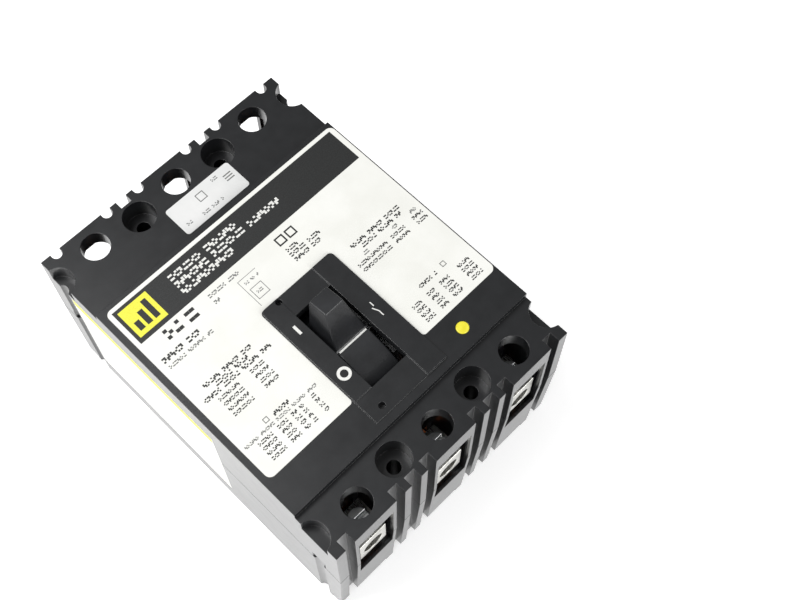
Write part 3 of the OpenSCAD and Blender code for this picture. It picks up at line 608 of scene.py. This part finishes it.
# The sticker on the ledge has three short rows, an empty square and three dashes.
bm = bmesh.new()
for x0, x1, y in ((-9.0, -6.6, 50.2), (9.2, 12.0, 57.8), (-2.0, 8.0, 49.4)):
    greek_row(bm, x0, x1, y, 1.3, sticker_high.z, word=3)
square_ring(bm, 2.4, 55.6, 1.8, 0.35, sticker_high.z)
for y in (53.6, 54.8, 56.0):
    stroke(bm, 13.4, y - 0.25, 17.0, y + 0.25, sticker_high.z)
print_piece(bm, "sticker_print", grey_ink)


# %% [markdown]
# The label on the left wall is plain white with a yellow stripe along its upper edge. It is
# let in below the wall, so that the ink does not stand out past the case.

# %% Stripe of the side label
STRIPE_DEPTH = 5 * MM   # from the label's upper edge
STRIPE_RIM = 0.4 * MM   # white left above the stripe
STRIPE_END = 0.5 * MM   # white left at each end
side_low, side_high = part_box("side_label")
stripe_z0 = side_high.z - STRIPE_DEPTH
stripe_z1 = side_high.z - STRIPE_RIM
size = (INK_T + SINK, side_high.y - side_low.y - 2 * STRIPE_END, stripe_z1 - stripe_z0)
middle = Vector((side_low.x - (INK_T - SINK) / 2, (side_low.y + side_high.y) / 2,
                 (stripe_z0 + stripe_z1) / 2))
bm = bmesh.new()
bmesh.ops.create_cube(
    bm, size=1.0, matrix=Matrix.Translation(middle) @ Matrix.Diagonal((*size, 1.0)))
print_piece(bm, "side_label_stripe", yellow_ink)
side_size = side_high - side_low
print("side label %.0f x %.0f mm" % (side_size.y / MM, side_size.z / MM))


# %% [markdown]
# ## Marks on the surround
#
# The bar and the ring are the everyday signs for on and off. They are pad printed in white
# on the left rail, and a switch sign stands on the right one. The ring is spun from its
# small cross-section, and the rest are strokes. A white line crosses the curved shutter
# of the handle and travels with it.

# %% On, off and switch signs
bm = bmesh.new()
bar_x = centre_x - 12.3
stroke(bm, bar_x, -11.8, bar_x + 1.1, -7.8, rail_z)
print_piece(bm, "on_sign", white_ink)


def printed_ring(bm, x, y, outer, inner, surface, steps=40):
    """A flat ring of ink, spun from one small cross-section."""
    corners = [(inner, -SINK), (outer, -SINK), (outer, INK_T), (inner, INK_T)]
    verts = [bm.verts.new((x + r, y, surface + z)) for r, z in corners]
    face = bm.faces.new(verts)
    bmesh.ops.spin(bm, geom=[face], cent=(x, y, surface), axis=(0, 0, 1), angle=2 * math.pi,
                   steps=steps, use_merge=True)
    bmesh.ops.remove_doubles(bm, verts=bm.verts, dist=0.0005 * MM)


bm = bmesh.new()
printed_ring(bm, (centre_x - 11.6) * MM, -32.8 * MM, 2.6 * MM, 1.5 * MM, rail_z)
print_piece(bm, "off_sign", white_ink)


def slanted(bm, start, end, width, surface):
    """A stroke from one point to another, in mm, at any angle."""
    run = Vector(end) - Vector(start)
    middle = (Vector(start) + Vector(end)) / 2 * MM
    place = Matrix.Translation((middle.x, middle.y, surface + (INK_T - SINK) / 2))
    place = place @ Matrix.Rotation(math.atan2(run.y, run.x), 4, "Z")
    place = place @ Matrix.Diagonal((run.length * MM, width * MM, INK_T + SINK, 1.0))
    bmesh.ops.create_cube(bm, size=1.0, matrix=place)


bm = bmesh.new()
sign_x = centre_x + 13.3
for start, end in (((sign_x, -20.0), (sign_x, -22.0)),
                   ((sign_x - 1.1, -22.2), (sign_x, -24.6)),
                   ((sign_x, -24.6), (sign_x, -26.9))):
    slanted(bm, start, end, 0.4, rail_z)
print_piece(bm, "switch_sign", white_ink)

pivot = Vector(handle_joint["pos_m"])
SHUTTER_R = 33.5 * MM
LINE_Y = -25.0
line_z = pivot.z + math.sqrt(SHUTTER_R ** 2 - (LINE_Y * MM - pivot.y) ** 2)
bm = bmesh.new()
stroke(bm, centre_x - 6.4, LINE_Y - 0.35, centre_x + 6.5, LINE_Y + 0.35, line_z)
print_piece(bm, "shutter_line", white_ink, body="handle_arm")
print("shutter line at %.2f mm above the back" % (line_z / MM))


# %% [markdown]
# ## Light, floor and camera
#
# The breaker lies on a bright white sweep. A floor that is only white would come out grey
# next to the label, so it also glows a little, and its glow is what the glossy side walls
# mirror. Broad lamps near the camera light the front without putting a highlight on it.

# %% Floor, lamps and world
def lamp(name, place_mm, target, size_mm, watts):
    """A square area lamp that looks at the target."""
    light = bpy.data.lights.new(name, "AREA")
    light.shape = "SQUARE"
    light.size = size_mm * MM
    light.energy = watts
    holder = show(name, light)
    holder.location = Vector(place_mm) * MM
    holder.rotation_euler = (target - holder.location).to_track_quat("-Z", "Y").to_euler()
    print("%-18s %5.1f W" % (name, watts))


floor_material, floor_place = new_material("white_sweep")
tone = add(floor_material, "TexNoise", {"Vector": floor_place, "Scale": 2.0, "Detail": 2.0})
floor_colour = ramp(floor_material, tone.outputs["Fac"], (0.4, grey(0.88)), (0.6, grey(0.9)))
finish(floor_material, add(floor_material, "BsdfPrincipled", {
    "Base Color": floor_colour, "Roughness": 0.6,
    "Emission Color": (1.0, 1.0, 1.0, 1.0), "Emission Strength": 0.5}))

FLOOR_HALF = 1.5
FLOOR_GAP = 0.02 * MM
bm = bmesh.new()
bmesh.ops.create_grid(bm, x_segments=1, y_segments=1, size=FLOOR_HALF)
floor_mesh = bpy.data.meshes.new("floor")
bm.to_mesh(floor_mesh)
bm.free()
floor_mesh.materials.append(floor_material)
floor = show("floor", floor_mesh)
floor.location.z = cad_box[0].z - FLOOR_GAP

middle = Vector((0, 0, top_z / 2))
lamp("front_left_softbox", (-700, -250, 500), middle, 500, 1.6)
lamp("front_right_softbox", (150, -750, 500), middle, 500, 3.2)
lamp("top_softbox", (-350, 350, 900), middle, 600, 7.5)
bpy.context.scene.view_settings.view_transform = "Standard"
world = bpy.data.worlds.new("studio")
world.use_nodes = True
background = world.node_tree.nodes["Background"]
background.inputs["Color"].default_value = grey(1.0)
background.inputs["Strength"].default_value = 0.24
bpy.context.scene.world = world


# %% [markdown]
# The camera looks down steeply over the left load corner. Its bearing and height are given
# as angles, its distance and aim as lengths from the front plane of the case.

# %% Camera
AZIMUTH = math.radians(-45.655)
ELEVATION = math.radians(65.151)
ROLL = math.radians(0.367)
DISTANCE = 440.6 * MM
FOCAL_LENGTH = 56.67   # mm, for a picture 36 mm wide
aim = Vector((22.9 * MM, -26.3 * MM, top_z - 0.3 * MM))

back = Vector((math.sin(AZIMUTH) * math.cos(ELEVATION),
               -math.cos(AZIMUTH) * math.cos(ELEVATION), math.sin(ELEVATION)))
right = Vector((0, 0, 1)).cross(back).normalized()
up = back.cross(right)
turn = Matrix((right, up, back)).transposed() @ Matrix.Rotation(ROLL, 3, "Z")

lens = bpy.data.cameras.new("studio_camera")
lens.lens = FOCAL_LENGTH
lens.sensor_width = 36.0
lens.clip_start = 0.01
camera = show("studio_camera", lens)
camera.matrix_world = Matrix.Translation(aim + back * DISTANCE) @ turn.to_4x4()
bpy.context.scene.camera = camera
print("camera at", [round(c / MM) for c in camera.matrix_world.translation])


# %% Finish
print("CAD box   ", [[round(v / MM, 2) for v in c] for c in cad_box])
